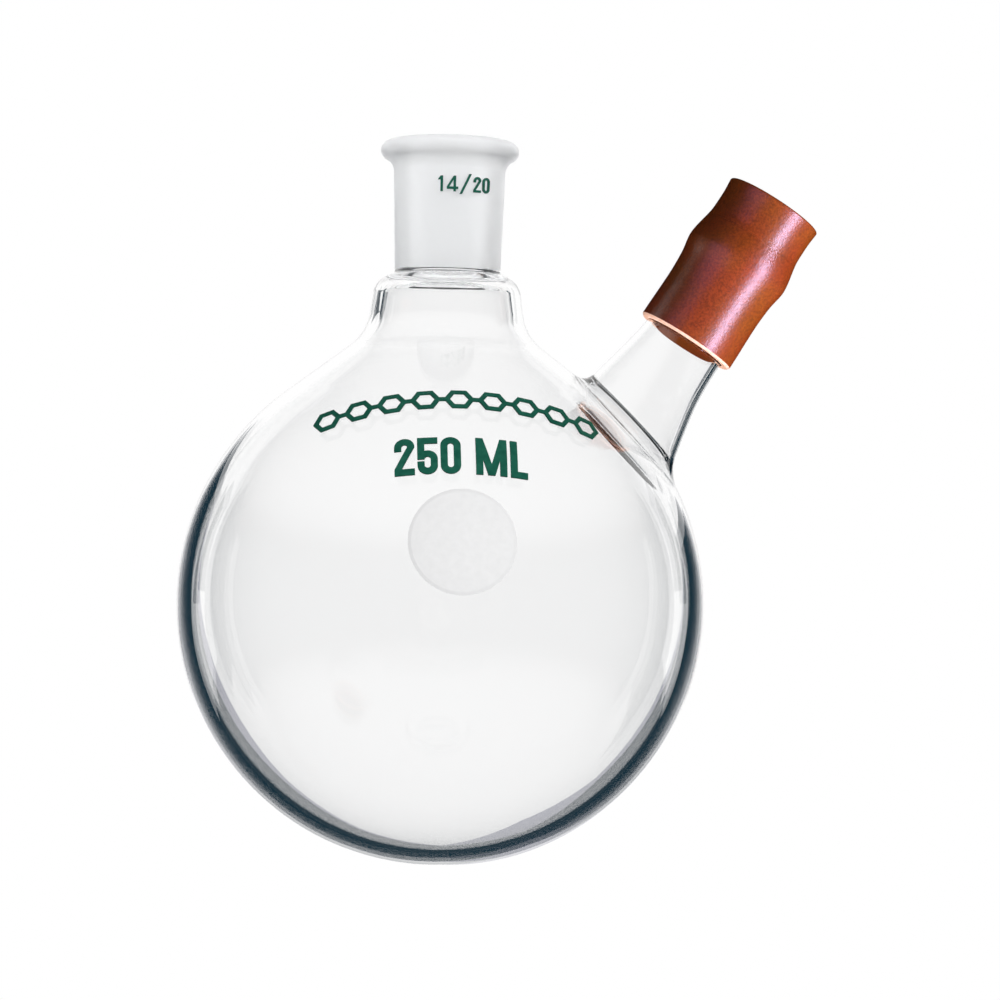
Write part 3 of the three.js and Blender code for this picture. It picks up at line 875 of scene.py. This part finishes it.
def fading_white(name, near, far):
    """White light that fades out evenly between two distances from the object's middle."""
    shader = Shader(name)
    place = shader.add("ShaderNodeTexCoord")
    length = shader.add("ShaderNodeVectorMath", operation="LENGTH")
    fade = shader.add("ShaderNodeMapRange", interpolation_type="SMOOTHSTEP")
    fade.inputs["From Min"].default_value = near
    fade.inputs["From Max"].default_value = far
    fade.inputs["To Min"].default_value = 1.0
    fade.inputs["To Max"].default_value = 0.08
    glow = shader.add("ShaderNodeEmission")
    shader.link(place.outputs["Object"], length.inputs[0])
    shader.link(length.outputs["Value"], fade.inputs["Value"])
    shader.link(fade.outputs["Result"], glow.inputs["Strength"])
    shader.link(glow.outputs[0], shader.output.inputs["Surface"])
    return shader.material


ceiling_mesh = bpy.data.meshes.new("ceiling")
ceiling_mesh.from_pydata(square(CEILING_REACH, CEILING_HEIGHT), [], [(0, 1, 2, 3)])
ceiling_mesh.materials.append(fading_white("ceiling", *CEILING_FADE))
glass_only("ceiling", ceiling_mesh)

backdrop_card("backdrop_middle", -58, 58, -24, 60, WHITE_CARD)
backdrop_card("backdrop_left", -76, -58, -40, 60, NAVY_CARD)
backdrop_card("backdrop_right", 58, 76, -40, 60, NAVY_CARD)

for side in (-1, 1):
    backdrop_card("neck_dark", side * 45.5, side * 53, 0, 30, NAVY_CARD, nearer=0.1)


def ring_points(*pairs):
    """Points round the bulb's middle, from angles in degrees and distances in millimetres."""
    ring = [(math.radians(angle), distance * MM) for angle, distance in pairs]
    return [(distance * math.cos(angle), distance * math.sin(angle)) for angle, distance in ring]


# The screens' edges all run round under the bulb, from its upper left to its upper right.
DARK_EDGE = ring_points(
    (136, 148), (150, 144), (160, 128), (180, 126), (200, 124), (215, 122), (230, 121), (250, 134),
    (270, 148), (290, 154), (310, 120), (330, 122), (350, 125), (0, 127), (22, 150),
)
LILAC_EDGE = ring_points(
    (136, 147), (150, 142), (160, 124), (180, 118), (200, 107), (215, 106), (230, 114), (250, 130),
    (270, 146), (290, 108), (310, 113), (330, 112), (350, 119), (0, 122), (22, 148),
)
OUTER_ANGLES = (156, 162, 168, 180, 200, 215, 230, 250, 270, 290, 310, 330, 350, 0, 13)
OUTER_EDGE = ring_points(*((angle, SCREEN_OUTER / MM) for angle in OUTER_ANGLES))


behind_flask("screen_dark", [*DARK_EDGE, *reversed(OUTER_EDGE)], SCREEN, NAVY_CARD)
border_corners = [*LILAC_EDGE, *reversed(OUTER_EDGE)]
behind_flask("screen_border", border_corners, SCREEN + SCREEN_SPACING, LILAC_CARD)


def softbox(name, lit, aim, toward, size, power, colour=(1, 1, 1), tall=(0, 1, 0), shine=True):
    """A soft lamp for one group of parts, a metre from aim, placed in the camera's own frame.

    toward is the direction from aim to the lamp, and tall the direction of its height."""
    data = bpy.data.lights.new(name, "AREA")
    data.shape = "RECTANGLE"
    data.size, data.size_y = size
    data.energy = power
    data.color = colour
    lamp = bpy.data.objects.new(name, data)
    bpy.context.scene.collection.objects.link(lamp)
    lamp.parent = camera
    back = Vector(toward).normalized()
    across = Vector(tall).cross(back).normalized()
    turn = Matrix((across, back.cross(across), back)).transposed().to_4x4()
    lamp.matrix_basis = Matrix.Translation(Vector(aim) + back) @ turn
    lamp.visible_glossy = shine
    lamp.light_linking.receiver_collection = lit
    lamp.light_linking.blocker_collection = OPAQUE_PARTS


FLASK = (0.0, 0.0, -CAMERA_DISTANCE)
SEPTUM = (0.035, 0.035, -CAMERA_DISTANCE)
ALONG_PORT = (AXIS[0], AXIS[2], 0.0)
JOINT = (0.0, 0.065, -CAMERA_DISTANCE)
VIOLET = (0.7, 0.42, 1.0)
PINK = (0.78, 0.66, 1.0)
softbox("front", MARKED_PARTS, FLASK, (0.25, 0.25, 0.94), (0.5, 0.5), 8.8, shine=False)
softbox("joint_front", GROUND_PARTS, JOINT, (0.0, 0.45, 0.95), (1.0, 1.0), 6.0, shine=False)
softbox("joint_left", GROUND_PARTS, JOINT, (-0.95, 0.2, 0.25), (0.6, 0.6), 4.0, shine=False)
softbox("joint_right", GROUND_PARTS, JOINT, (0.95, 0.2, 0.25), (0.6, 0.6), 4.0, shine=False)
softbox("side", RUBBER_PARTS, SEPTUM, (0.80, 0.05, 0.60), (0.5, 0.5), 7.5, (1.0, 0.92, 0.8), shine=False)
softbox("strip", RUBBER_PARTS, SEPTUM, (0.70, -0.44, 0.56), (0.2, 1.2), 17.0, PINK, ALONG_PORT)
softbox("cool", RUBBER_PARTS, SEPTUM, (-0.70, 0.20, 0.70), (0.9, 0.9), 1.4, VIOLET)
softbox("under", RUBBER_PARTS, SEPTUM, (-0.35, -0.90, 0.25), (0.4, 0.4), 14.0, (1.0, 0.9, 0.8), shine=False)

world = bpy.data.worlds.new("studio")
bpy.context.scene.world = world
world.use_nodes = True
tree = world.node_tree
tree.nodes.clear()
world_out = tree.nodes.new("ShaderNodeOutputWorld")
world_mix = tree.nodes.new("ShaderNodeMixShader")
world_rays = tree.nodes.new("ShaderNodeLightPath")
room = tree.nodes.new("ShaderNodeBackground")
ambient = tree.nodes.new("ShaderNodeMix")
ambient.data_type = "RGBA"
ambient.inputs["A"].default_value = (0.07, 0.085, 0.095, 1)
ambient.inputs["B"].default_value = (0.2, 0.2, 0.205, 1)
tree.links.new(world_rays.outputs["Is Diffuse Ray"], ambient.inputs["Factor"])
tree.links.new(ambient.outputs["Result"], room.inputs["Color"])
paper = tree.nodes.new("ShaderNodeBackground")
paper.inputs["Color"].default_value = (1, 1, 1, 1)
tree.links.new(world_rays.outputs["Is Camera Ray"], world_mix.inputs["Fac"])
tree.links.new(room.outputs[0], world_mix.inputs[1])
tree.links.new(paper.outputs[0], world_mix.inputs[2])
tree.links.new(world_mix.outputs[0], world_out.inputs["Surface"])

floor_mesh = bpy.data.meshes.new("floor")
floor_mesh.from_pydata(square(FLOOR, 0), [], [(0, 1, 2, 3)])
floor_mesh.materials.append(emission("floor", (1, 1, 1)))
floor = bpy.data.objects.new("floor", floor_mesh)
bpy.context.scene.collection.objects.link(floor)
floor.location.z = -FLOOR_DROP
floor.visible_transmission = False
floor.visible_glossy = False
floor.visible_diffuse = False
floor.visible_shadow = False

bpy.context.scene.view_settings.view_transform = "Standard"
bpy.context.scene.cycles.max_bounces = 32
bpy.context.scene.cycles.transmission_bounces = 32
bpy.context.scene.cycles.glossy_bounces = 16
bpy.context.scene.cycles.transparent_max_bounces = 32
